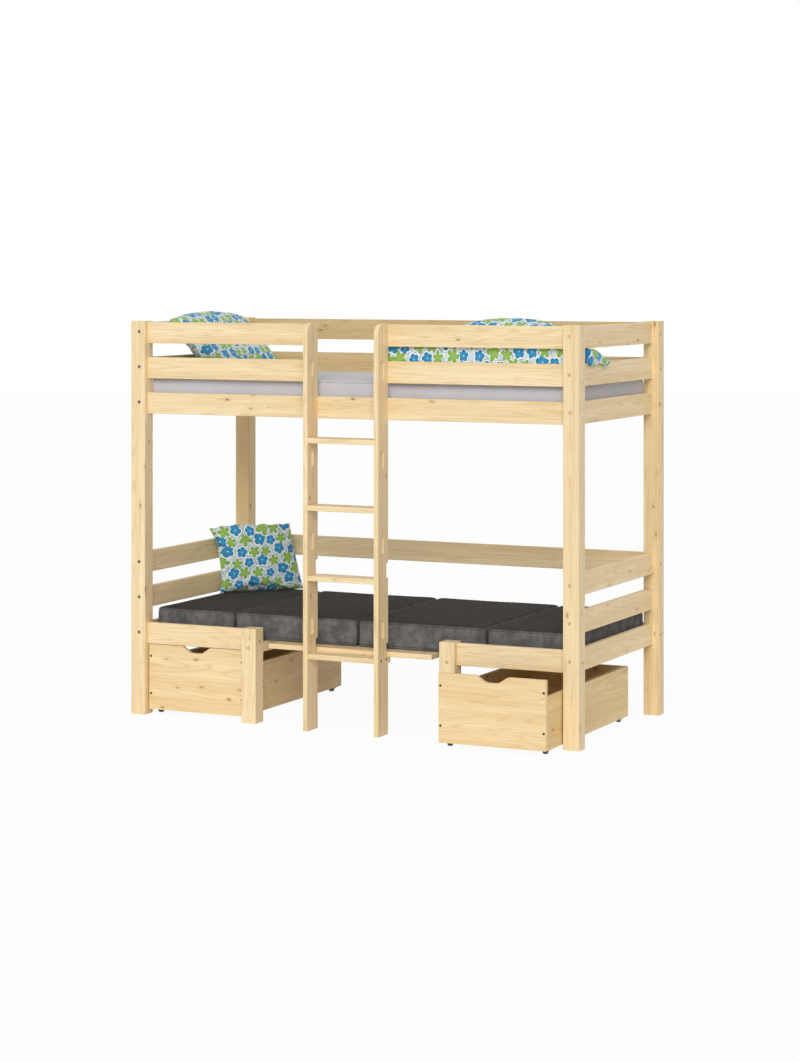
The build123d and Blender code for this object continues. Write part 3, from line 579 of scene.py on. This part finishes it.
def seamLine(piece, name, point, normal, radius, material, body):
    # the cover is cut by a plane, and a thin welt runs along the cut
    cut = bmesh.new()
    cut.from_mesh(piece.data)
    geometry = cut.verts[:] + cut.edges[:] + cut.faces[:]
    done = bmesh.ops.bisect_plane(cut, geom=geometry, plane_co=point, plane_no=normal)
    edges = [part for part in done["geom_cut"] if isinstance(part, bmesh.types.BMEdge)]
    following = {}
    for edge in edges:
        for near, far in (edge.verts, reversed(edge.verts)):
            following.setdefault(near, []).append(far)
    start = edges[0].verts[0]
    loop, last, here = [start.co.copy()], None, start
    while True:
        ahead = [vertex for vertex in following[here] if vertex is not last]
        if not ahead or ahead[0] is start:
            break
        last, here = here, ahead[0]
        loop.append(here.co.copy())
        if len(loop) > sewing["mostSeamPoints"]:
            break
    cut.free()
    line = bpy.data.curves.new(name, "CURVE")
    line.dimensions = "3D"
    line.bevel_depth = radius
    line.bevel_resolution = 2
    spline = line.splines.new("POLY")
    kept = [loop[0]]
    for place in loop[1:]:
        if (place - kept[-1]).length > sewing["seamSpacing"]:
            kept.append(place)
    spline.points.add(len(kept) - 1)
    for target, place in zip(spline.points, kept):
        target.co = (*place, 1)
    spline.use_cyclic_u = True
    holder = bpy.data.objects.new(name + "Line", line)
    bpy.context.collection.objects.link(holder)
    depsgraph = bpy.context.evaluated_depsgraph_get()
    tube = bpy.data.meshes.new_from_object(holder.evaluated_get(depsgraph))
    bpy.data.objects.remove(holder)
    tube.materials.clear()
    tube.materials.append(material)
    for face in tube.polygons:
        face.use_smooth = True
    welt = bpy.data.objects.new(name, tube)
    bpy.context.collection.objects.link(welt)
    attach(welt, body)
    return welt


# turned plugs over the bolts that show, and the heads of the screws
def addButton(mesh, face, outward, radius, thick, proud):
    others = set(mesh.verts)
    bmesh.ops.create_cone(mesh, cap_ends=True, segments=24, radius1=radius, radius2=radius, depth=thick)
    rim = [edge for edge in mesh.edges if not others.intersection(edge.verts)]
    rim = [edge for edge in rim if min(vertex.co.z for vertex in edge.verts) > 0]
    bmesh.ops.bevel(mesh, geom=rim, offset=thick * 0.35, affect="EDGES", segments=2, profile=0.5, material=-1)
    outward = Vector(outward)
    turned = Vector((0, 0, 1)).rotation_difference(outward).to_matrix()
    corners = [vertex for vertex in mesh.verts if vertex not in others]
    bmesh.ops.rotate(mesh, verts=corners, cent=(0, 0, 0), matrix=turned)
    bmesh.ops.translate(mesh, verts=corners, vec=Vector(face) + outward * (proud - thick / 2))


def buttons(name, places, outward, size, material, body):
    mesh = bmesh.new()
    for place in places:
        addButton(mesh, place, outward, size["radius"], size["thick"], size["proud"])
    piece = newPiece(name, mesh, material)
    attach(piece, body)


plugs = {
    "radius": 0.0076,
    "thick": 0.0034,
    "proud": -0.0003,
    "boltFromEnd": 0.041,
    "endLevels": (0.3615, 0.5165, 0.6715, 1.3755, 1.5305, 1.6855),
    "railLevels": (1.3655, 1.5205, 1.6755),
    "beamLevel": 0.3245,
}
screwHeads = {
    "radius": 0.0052,
    "thick": 0.0012,
    "proud": 0.0012,
    "fromSide": 0.009,
    "drawerLevels": (0.092, 0.256),
    "ladderPlaces": (-0.460, -0.412),
    "ladderLevel": 0.317,
}
postLow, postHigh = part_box("post_front_right")
boltX = postHigh[0] - plugs["boltFromEnd"]
boltY = postLow[1] + plugs["boltFromEnd"]
rightFront = [(boltX, postLow[1], level) for level in plugs["endLevels"]]
rightFront += [(middleOf(f"short_post_{side}").x, postLow[1], plugs["beamLevel"]) for side in sides]
buttons("bolt_plugs_front", rightFront, (0, -1, 0), plugs, palePlug, "frame")
leftFront = [(-boltX, postLow[1], level) for level in plugs["endLevels"]]
buttons("bolt_plugs_left", leftFront, (0, -1, 0), plugs, brownPlug, "frame")
rightEnd = [(postHigh[0], boltY, level) for level in plugs["railLevels"]]
# the plugs on the end face are near-white, a painted highlight
buttons("bolt_plugs_end", rightEnd, (1, 0, 0), plugs, plugPaintedHighlight, "frame")
for side in sides:
    drawer = f"drawer_{side}"
    frontLow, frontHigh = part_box(drawer + "_front")
    headLines = (frontLow[0] + screwHeads["fromSide"], frontHigh[0] - screwHeads["fromSide"])
    places = [(x, frontLow[1], level) for x in headLines for level in screwHeads["drawerLevels"]]
    buttons(drawer + "_screw_heads", places, (0, -1, 0), screwHeads, boltMetal, drawer)
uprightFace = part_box("ladder_upright_right")[1][0]
places = [(uprightFace, y, screwHeads["ladderLevel"]) for y in screwHeads["ladderPlaces"]]
buttons("ladder_screw_heads", places, (1, 0, 0), screwHeads, boltMetal, "frame")
print("plugs and screw heads set")


# helpers for the foam pieces
def softBlock(low, high, facts):
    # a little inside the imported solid, apart from its underside
    inset = facts["inset"]
    low = low + Vector((inset, inset, 0))
    high = high - Vector((inset, inset, inset))
    return roundedBlock(low, high, facts["corner"], facts["ease"])


def freeAbove(floor):
    # no swelling where a piece lies on its support
    def hold(place):
        return min(1.0, max(0.0, (place.z - floor - sewing["stillFoot"]) / sewing["footFade"]))

    return hold


def edgeSeams(piece, stem, low, high, facts, material, body):
    levels = {"top": high.z - facts["seamDown"], "bottom": low.z + facts["seamDown"]}
    for label, level in levels.items():
        name = f"{stem}_{label}"
        seam = seamLine(piece, name, (0, 0, level), (0, 0, 1), facts["seamRadius"], material, body)


# four suede cushions with a welt round the top and bottom panels
cushions = {
    "bodies": {
        "seat_cushion_left": "frame",
        "table_cushion_left": "cushion_left",
        "table_cushion_right": "cushion_right",
        "seat_cushion_right": "frame",
    },
    "inset": 0.0015,
    "corner": 0.009,
    "ease": 0.009,
    "voxel": 0.012,
    "pressure": 4,
    "swell": 0.0035,
    "seamRadius": 0.0009,
    "seamDown": 0.013,
    "puckerWidth": 0.012,
    "puckerDepth": 0.0009,
    "ripplesX": 210,
    "ripplesY": 190,
    "dentScale": 4.5,
    "dentDepth": 0.0022,
    "plainFoot": 0.01,
}
for cushionNode, cushionBody in cushions["bodies"].items():
    low, high = (Vector(corner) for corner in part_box(cushionNode))
    cushion = newPiece(cushionNode + "_cover", softBlock(low, high, cushions), greySuede)
    remeshed(cushion, cushions["voxel"])
    swell(cushion, cushions["pressure"], cushions["swell"], freeAbove(low.z))
    finer(cushion)
    phase = low.x * 7
    for vertex, outward in zip(cushion.data.vertices, outwardOf(cushion)):
        # small puckers where the panels are sewn, and slow dents in the foam
        here = vertex.co
        fromTop = abs(high.z - cushions["seamDown"] - here.z)
        pucker = math.exp(-((fromTop / cushions["puckerWidth"]) ** 2)) * cushions["puckerDepth"]
        ripple = math.sin(here.x * cushions["ripplesX"] + phase)
        ripple *= math.sin(here.y * cushions["ripplesY"] + phase)
        dent = noise.noise(here * cushions["dentScale"] + Vector((phase, 0, 0))) * cushions["dentDepth"]
        if here.z > low.z + cushions["plainFoot"]:
            vertex.co -= outward * (pucker * (1.0 + ripple) + max(0.0, dent))
    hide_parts(cushionNode)
    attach(cushion, cushionBody)
    stem = cushionNode + "_welt"
    edgeSeams(cushion, stem, low, high, cushions, suedeWelt, cushionBody)
print("cushions sewn")


# mattress in a pale woven cover with taped edges
mattress = {
    "inset": 0.0015,
    "corner": 0.016,
    "ease": 0.012,
    "voxel": 0.018,
    "pressure": 4,
    "swell": 0.003,
    "seamRadius": 0.0025,
    "seamDown": 0.012,
    "waveScale": (3.2, 3.2, 9),
    "waveDepth": 0.004,
    "plainFoot": 0.01,
}
low, high = (Vector(corner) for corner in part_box("mattress"))
mattressPiece = newPiece("mattress_cover", softBlock(low, high, mattress), mattressCover)
remeshed(mattressPiece, mattress["voxel"])
swell(mattressPiece, mattress["pressure"], mattress["swell"], freeAbove(low.z))
finer(mattressPiece)
for vertex, outward in zip(mattressPiece.data.vertices, outwardOf(mattressPiece)):
    if vertex.co.z > low.z + mattress["plainFoot"]:
        spot = Vector([part * scale for part, scale in zip(vertex.co, mattress["waveScale"])])
        wave = noise.noise(spot) * mattress["waveDepth"]
        vertex.co -= outward * max(0.0, wave)
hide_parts("mattress")
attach(mattressPiece, "frame")
edgeSeams(mattressPiece, "mattress_tape", low, high, mattress, mattressTape, "frame")
print("mattress made")


# pillows: two sheets sewn round the edge and blown up, so that the corners gather
pillowMaking = {
    "fullness": 0.42,
    "rimHalf": 0.0035,
    "gatherFrom": 0.35,
    "gatherTo": 1.02,
    "creaseScale": 16,
    "plainRim": 0.02,
    "rimWaves": 95,
    "stations": 40,
    "stationSpan": 1.4,
    "sinkMost": 0.03,
    "sinkReach": 0.45,
    "backPrintShift": 0.7,
}


def makePillow(node, facts):
    wide, tall, thick = facts["size"]
    mesh = bmesh.new()
    bmesh.ops.create_cube(mesh, size=2)
    for axis, cuts in enumerate(facts["steps"]):
        edges = [edge for edge in mesh.edges if abs(edge.verts[0].co[axis] - edge.verts[1].co[axis]) > 1]
        bmesh.ops.subdivide_edges(mesh, edges=edges, cuts=cuts, use_grid_fill=True)
    crown = facts["crownAt"]
    for vertex in mesh.verts:
        across, up, side = vertex.co
        power = pillowMaking["fullness"]
        full = max(0.0, 1 - across * across) ** power * max(0.0, 1 - up * up) ** power
        isLeft = across < crown
        away = (across - crown) / (1 + crown if isLeft else 1 - crown)
        topEdge = 1 - facts["earDrops"][0 if isLeft else 1] * away * away
        footEdge = 1 - facts["drawFoot"] * (1 - across * across)
        drawn = 1 - facts["drawSides"][0 if across < 0 else 1] * (1 - up * up)
        narrowed = 1 - facts["taper"] * (up + 1) / 2
        vertex.co.x = across * drawn * narrowed * wide / 2
        vertex.co.y = up * (topEdge if up > 0 else footEdge) * tall / 2
        vertex.co.z = side * (pillowMaking["rimHalf"] + full * thick * facts["start"] / 2)
    pillow = newPiece(node + "_cover", mesh, printedCotton)
    for face in pillow.data.polygons:
        face.use_smooth = True
    swell(pillow, facts["pressure"], facts["cap"])
    finer(pillow)
    # brought back to its size, because a swollen cover draws its edges in
    spans = []
    for axis in range(3):
        values = [vertex.co[axis] for vertex in pillow.data.vertices]
        spans.append((min(values), max(values)))
    local = []
    for vertex in pillow.data.vertices:
        part = Vector()
        for axis, (least, most) in enumerate(spans):
            part[axis] = (vertex.co[axis] - (least + most) / 2) * facts["size"][axis] / (most - least)
        # gathers run in from the corners, fading towards the middle
        edge = max(abs(part.x) / wide * 2, abs(part.y) / tall * 2)
        ray = math.atan2(part.y / tall, part.x / wide)
        gather = math.sin(ray * facts["gathers"] + noise.noise(part * 9) * 3)
        gather = gather * max(0.0, edge - pillowMaking["gatherFrom"]) * (pillowMaking["gatherTo"] - edge) * 4
        scale = pillowMaking["creaseScale"]
        crease = noise.noise(Vector((part.x * scale, part.y * scale, 3.0 if part.z > 0 else 8.0)))
        shift = gather * facts["gatherDepth"] + crease * facts["creaseDepth"]
        shift = shift * min(1.0, abs(part.z) / pillowMaking["plainRim"])
        part.z -= math.copysign(abs(shift), part.z)
        part.x -= facts["leanOver"] * (part.y / tall + 0.5)
        wave = math.sin(part.x * pillowMaking["rimWaves"] + 1.1)
        part.y += facts["rimWave"] * wave * max(0.0, part.y / tall * 2) ** 3
        local.append(part)
    # the underside settles flat on what it stands on
    stations, span = pillowMaking["stations"], pillowMaking["stationSpan"]
    lowest = [tall] * (stations + 1)
    for part in local:
        station = round((part.x / wide / span + 0.5) * stations)
        lowest[station] = min(lowest[station], part.y)
    # a station beyond the cover's ends takes the height of the one beside it
    for station in range(stations // 2, stations):
        if lowest[station + 1] == tall:
            lowest[station + 1] = lowest[station]
    for station in range(stations // 2, 0, -1):
        if lowest[station - 1] == tall:
            lowest[station - 1] = lowest[station]
    turn = Matrix((facts["across"], facts["up"], facts["out"])).transposed().to_4x4()
    place = Matrix.Translation(facts["middle"]) @ turn
    for vertex, part in zip(pillow.data.vertices, local):
        along = (part.x / wide / span + 0.5) * stations
        station = min(stations - 1, int(along))
        under = lowest[station] + (lowest[station + 1] - lowest[station]) * (along - station)
        sink = min(pillowMaking["sinkMost"], max(0.0, under + tall / 2)) if under < 0 else 0.0
        part.y -= sink * max(0.0, 1 - (part.y - under) / (tall * pillowMaking["sinkReach"]))
        vertex.co = place @ part
    layer = pillow.data.uv_layers.get("print") or pillow.data.uv_layers.new(name="print")
    for loop in pillow.data.loops:
        part = local[loop.vertex_index]
        backShift = pillowMaking["backPrintShift"] if part.z < 0 else 0
        layer.data[loop.index].uv = (part.x + backShift, part.y + facts["printShift"])
    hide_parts(node)
    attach(pillow, "frame")


lowerTurn = math.radians(47.3)
lowerPillow = {
    "size": (0.410, 0.311, 0.118),
    "middle": (-0.839, 0.379, 0.6202),
    "across": (math.cos(lowerTurn), math.sin(lowerTurn), 0),
    "up": (0, 0, 1),
    "out": (math.sin(lowerTurn), -math.cos(lowerTurn), 0),
    "steps": (47, 37),
    "start": 0.72,
    "pressure": 3,
    "cap": 0.02,
    "drawSides": (0.075, -0.03),
    "drawFoot": 0.0,
    "earDrops": (0.13, 0.05),
    "crownAt": 0.1,
    "taper": 0.085,
    "leanOver": 0.062,
    "rimWave": 0.003,
    "gathers": 22,
    "gatherDepth": 0.004,
    "creaseDepth": 0.005,
    "printShift": 0.31,
    "fill": 0.6,
}
upperLean = math.radians(42)
upperPillow = {
    "size": (0.664, 0.364, 0.116),
    "middle": (-0.8815, 0.101, 1.6283),
    "across": (0, 1, 0),
    "up": (-math.sin(upperLean), 0, math.cos(upperLean)),
    "out": (math.cos(upperLean), 0, math.sin(upperLean)),
    "steps": (67, 37),
    "start": 0.72,
    "pressure": 3,
    "cap": 0.02,
    "drawSides": (0.07, 0.07),
    "drawFoot": 0.02,
    "earDrops": (0.25, 0.27),
    "crownAt": 0.12,
    "taper": 0.0,
    "leanOver": 0.0,
    "rimWave": 0.002,
    "gathers": 26,
    "gatherDepth": 0.004,
    "creaseDepth": 0.005,
    "printShift": 1.27,
    "fill": 0.65,
}
makePillow("pillow_lower", lowerPillow)
makePillow("pillow_upper", upperPillow)
print("pillows made")


# duvet, rolled along the front guard, one corner over the end board
duvet = {
    "voxel": 0.009,
    "soften": 5,
    "pressure": 3,
    "swell": 0.006,
    "solidHeight": 0.256,
    "solidStops": ((0.15, 0.5), (0.25, 0.78), (0.451, 0.96), (0.818, 1.0), (0.985, 0.84)),
    "leftTop": 1.690,
    "bodyTop": 1.722,
    "rightTop": 1.700,
    "crestAt": 0.677,
    "crestReach": 0.225,
    "crestRise": 0.030,
    "crestPower": 2.6,
    "leftSlope": (0.15, 0.42),
    "rightSlope": (0.9, 0.985),
    "foldDepth": 0.005,
    "foldWinding": (3.2, 7, 7),
    "foldsAlong": 9,
    "foldsUp": 26,
    "windingReach": 5,
    "middle": (-0.21, 1.53),
    "girth": 0.17,
    "flapLevel": 1.5723,
    "flapFrom": 0.988,
    "boardFace": 1.0303,
    "tips": ((-0.075, 0.52), (-0.215, 0.38)),
    "tipHalf": 0.034,
    "tipLeast": 0.07,
    "restsUpTo": 0.04,
}
duvetLow = Vector(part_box("duvet")[0])
roll = bmesh.new()
roll.from_mesh(nodes["duvet"].data)
bmesh.ops.remove_doubles(roll, verts=roll.verts, dist=0.0002)
duvetPiece = newPiece("duvet_cover", roll, printedCotton)
duvetPiece.data.materials.clear()
duvetPiece.data.materials.append(printedCotton)
remeshed(duvetPiece, duvet["voxel"])
soften = duvetPiece.modifiers.new("soften", "SMOOTH")
soften.factor = 0.5
soften.iterations = duvet["soften"]
applyModifiers(duvetPiece)


def blendUp(value, start, stop):
    share = min(1.0, max(0.0, (value - start) / (stop - start)))
    return share * share * (3 - 2 * share)


def solidTop(x):
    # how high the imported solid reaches, between its five sections
    stops = duvet["solidStops"]
    share = stops[0][1] if x < stops[0][0] else stops[-1][1]
    for (near, low), (far, high) in zip(stops, stops[1:]):
        if near <= x <= far:
            share = low + (high - low) * (x - near) / (far - near)
    return duvetLow.z + duvet["solidHeight"] * share


def wantedTop(x):
    # full to the ladder, with one broad crest that shows above the guard
    top = duvet["leftTop"] + (duvet["bodyTop"] - duvet["leftTop"]) * blendUp(x, *duvet["leftSlope"])
    top -= (duvet["bodyTop"] - duvet["rightTop"]) * blendUp(x, *duvet["rightSlope"])
    off = abs(x - duvet["crestAt"]) / duvet["crestReach"]
    return top + duvet["crestRise"] * max(0.0, 1 - off ** duvet["crestPower"])


def duvetHold(place):
    # held where it lies on the mattress, on the guard and round the end board
    free = min(1.0, max(0.0, (place.z - duvetLow.z - 0.006) / 0.03))
    if place.x > duvet["flapFrom"] - 0.015:
        return 0.0
    return free * min(1.0, max(0.0, (place.y - duvetLow.y - 0.001) / 0.02))


rollBase = duvetLow.z + duvet["restsUpTo"]
for vertex in duvetPiece.data.vertices:
    here = vertex.co
    if here.x < duvet["flapFrom"]:
        if here.z > rollBase:
            wanted = wantedTop(here.x) - rollBase
            packed = solidTop(here.x) - rollBase
            here.z = rollBase + (here.z - rollBase) * wanted / packed
    elif here.z > duvet["flapLevel"]:
        # the corner thins out towards its rear tip
        fullness = 0.22 + 1.48 * min(1.0, max(0.0, (-0.03 - here.y) / 0.14))
        here.z = duvet["flapLevel"] + (here.z - duvet["flapLevel"]) * fullness
    else:
        # two tips hang over the board, with a shallow notch between them
        tips = duvet["tipLeast"]
        for place, reach in duvet["tips"]:
            tips += reach * math.exp(-(((here.y - place) / duvet["tipHalf"]) ** 2))
        here.z = duvet["flapLevel"] - (duvet["flapLevel"] - here.z) * tips
swell(duvetPiece, duvet["pressure"], duvet["swell"], duvetHold)
finer(duvetPiece)
for vertex, outward in zip(duvetPiece.data.vertices, outwardOf(duvetPiece)):
    # long soft folds wind along the roll; they only cut inwards, so the cover stays in its space
    here = vertex.co
    spot = Vector([part * scale for part, scale in zip(here, duvet["foldWinding"])])
    sway = noise.noise(spot) * duvet["windingReach"]
    folds = 0.5 - 0.5 * math.sin(here.x * duvet["foldsAlong"] + here.z * duvet["foldsUp"] + sway)
    crest = blendUp(here.z, duvetLow.z + 0.2, duvetLow.z + 0.25)
    vertex.co -= outward * folds * folds * duvet["foldDepth"] * duvetHold(here) * (1 - 0.8 * crest)
layer = duvetPiece.data.uv_layers.new(name="print")
for loop in duvetPiece.data.loops:
    here = duvetPiece.data.vertices[loop.vertex_index].co
    if here.x < duvet["flapFrom"]:
        turn = math.atan2(here.y - duvet["middle"][0], here.z - duvet["middle"][1]) * duvet["girth"]
        layer.data[loop.index].uv = (here.x, turn)
    else:
        over = max(0.0, duvet["flapLevel"] + 0.034 - here.z) if here.x > duvet["boardFace"] else 0.0
        layer.data[loop.index].uv = (here.x + over, here.y * 0.9 - here.z * 0.4 + 0.7)
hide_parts("duvet")
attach(duvetPiece, "frame")
print("duvet made")


# plain floor, white backdrop and soft studio light
def seenDirectly(tree):
    # one for rays that the eye follows, nothing for the light that falls on the object
    rays = addNode(tree, "ShaderNodeLightPath")
    followed = mathOf(tree, "MAXIMUM", rays.outputs["Is Glossy Ray"], rays.outputs["Is Transmission Ray"])
    return mathOf(tree, "MAXIMUM", rays.outputs["Is Camera Ray"], followed)


studio = {
    "floorRadius": 30,
    "worldLevel": 0.5,
    "sunLevel": 1.75,
    "sunSpreadDegrees": 35,
    "sunFrom": (0.30, -0.84, 0.50),
    "floorGlow": 0.95,
}
floorMesh = bmesh.new()
bmesh.ops.create_circle(floorMesh, cap_ends=True, segments=96, radius=studio["floorRadius"])
floorMaterial, tree, shader = newMaterial("paleFloor", 0.9)
shader.inputs["Base Color"].default_value = (0.86, 0.86, 0.86, 1)
shader.inputs["Specular IOR Level"].default_value = 0.1
seen = seenDirectly(tree)
glow = addNode(tree, "ShaderNodeEmission")
glow.inputs["Strength"].default_value = 1
blend = addNode(tree, "ShaderNodeMixShader")
tree.links.new(mathOf(tree, "MULTIPLY", seen, studio["floorGlow"]), blend.inputs[0])
tree.links.new(shader.outputs[0], blend.inputs[1])
tree.links.new(glow.outputs[0], blend.inputs[2])
tree.links.new(blend.outputs[0], tree.nodes["Material Output"].inputs["Surface"])
floorPiece = newPiece("floor", floorMesh, floorMaterial)

world = bpy.data.worlds.new("studioWorld")
scene.world = world
world.use_nodes = True
tree = world.node_tree
background = tree.nodes["Background"]
background.inputs["Color"].default_value = (1, 1, 1, 1)
seen = seenDirectly(tree)
level = mathOf(tree, "ADD", mathOf(tree, "MULTIPLY", seen, 1 - studio["worldLevel"]), studio["worldLevel"])
tree.links.new(level, background.inputs["Strength"])

sun = bpy.data.lights.new("keyLight", "SUN")
sun.energy = studio["sunLevel"]
sun.angle = math.radians(studio["sunSpreadDegrees"])
sunPiece = bpy.data.objects.new("keyLight", sun)
sunPiece.rotation_euler = Vector(studio["sunFrom"]).to_track_quat("Z", "Y").to_euler()
bpy.context.collection.objects.link(sunPiece)

scene.view_settings.view_transform = "Standard"
print("stage lit")
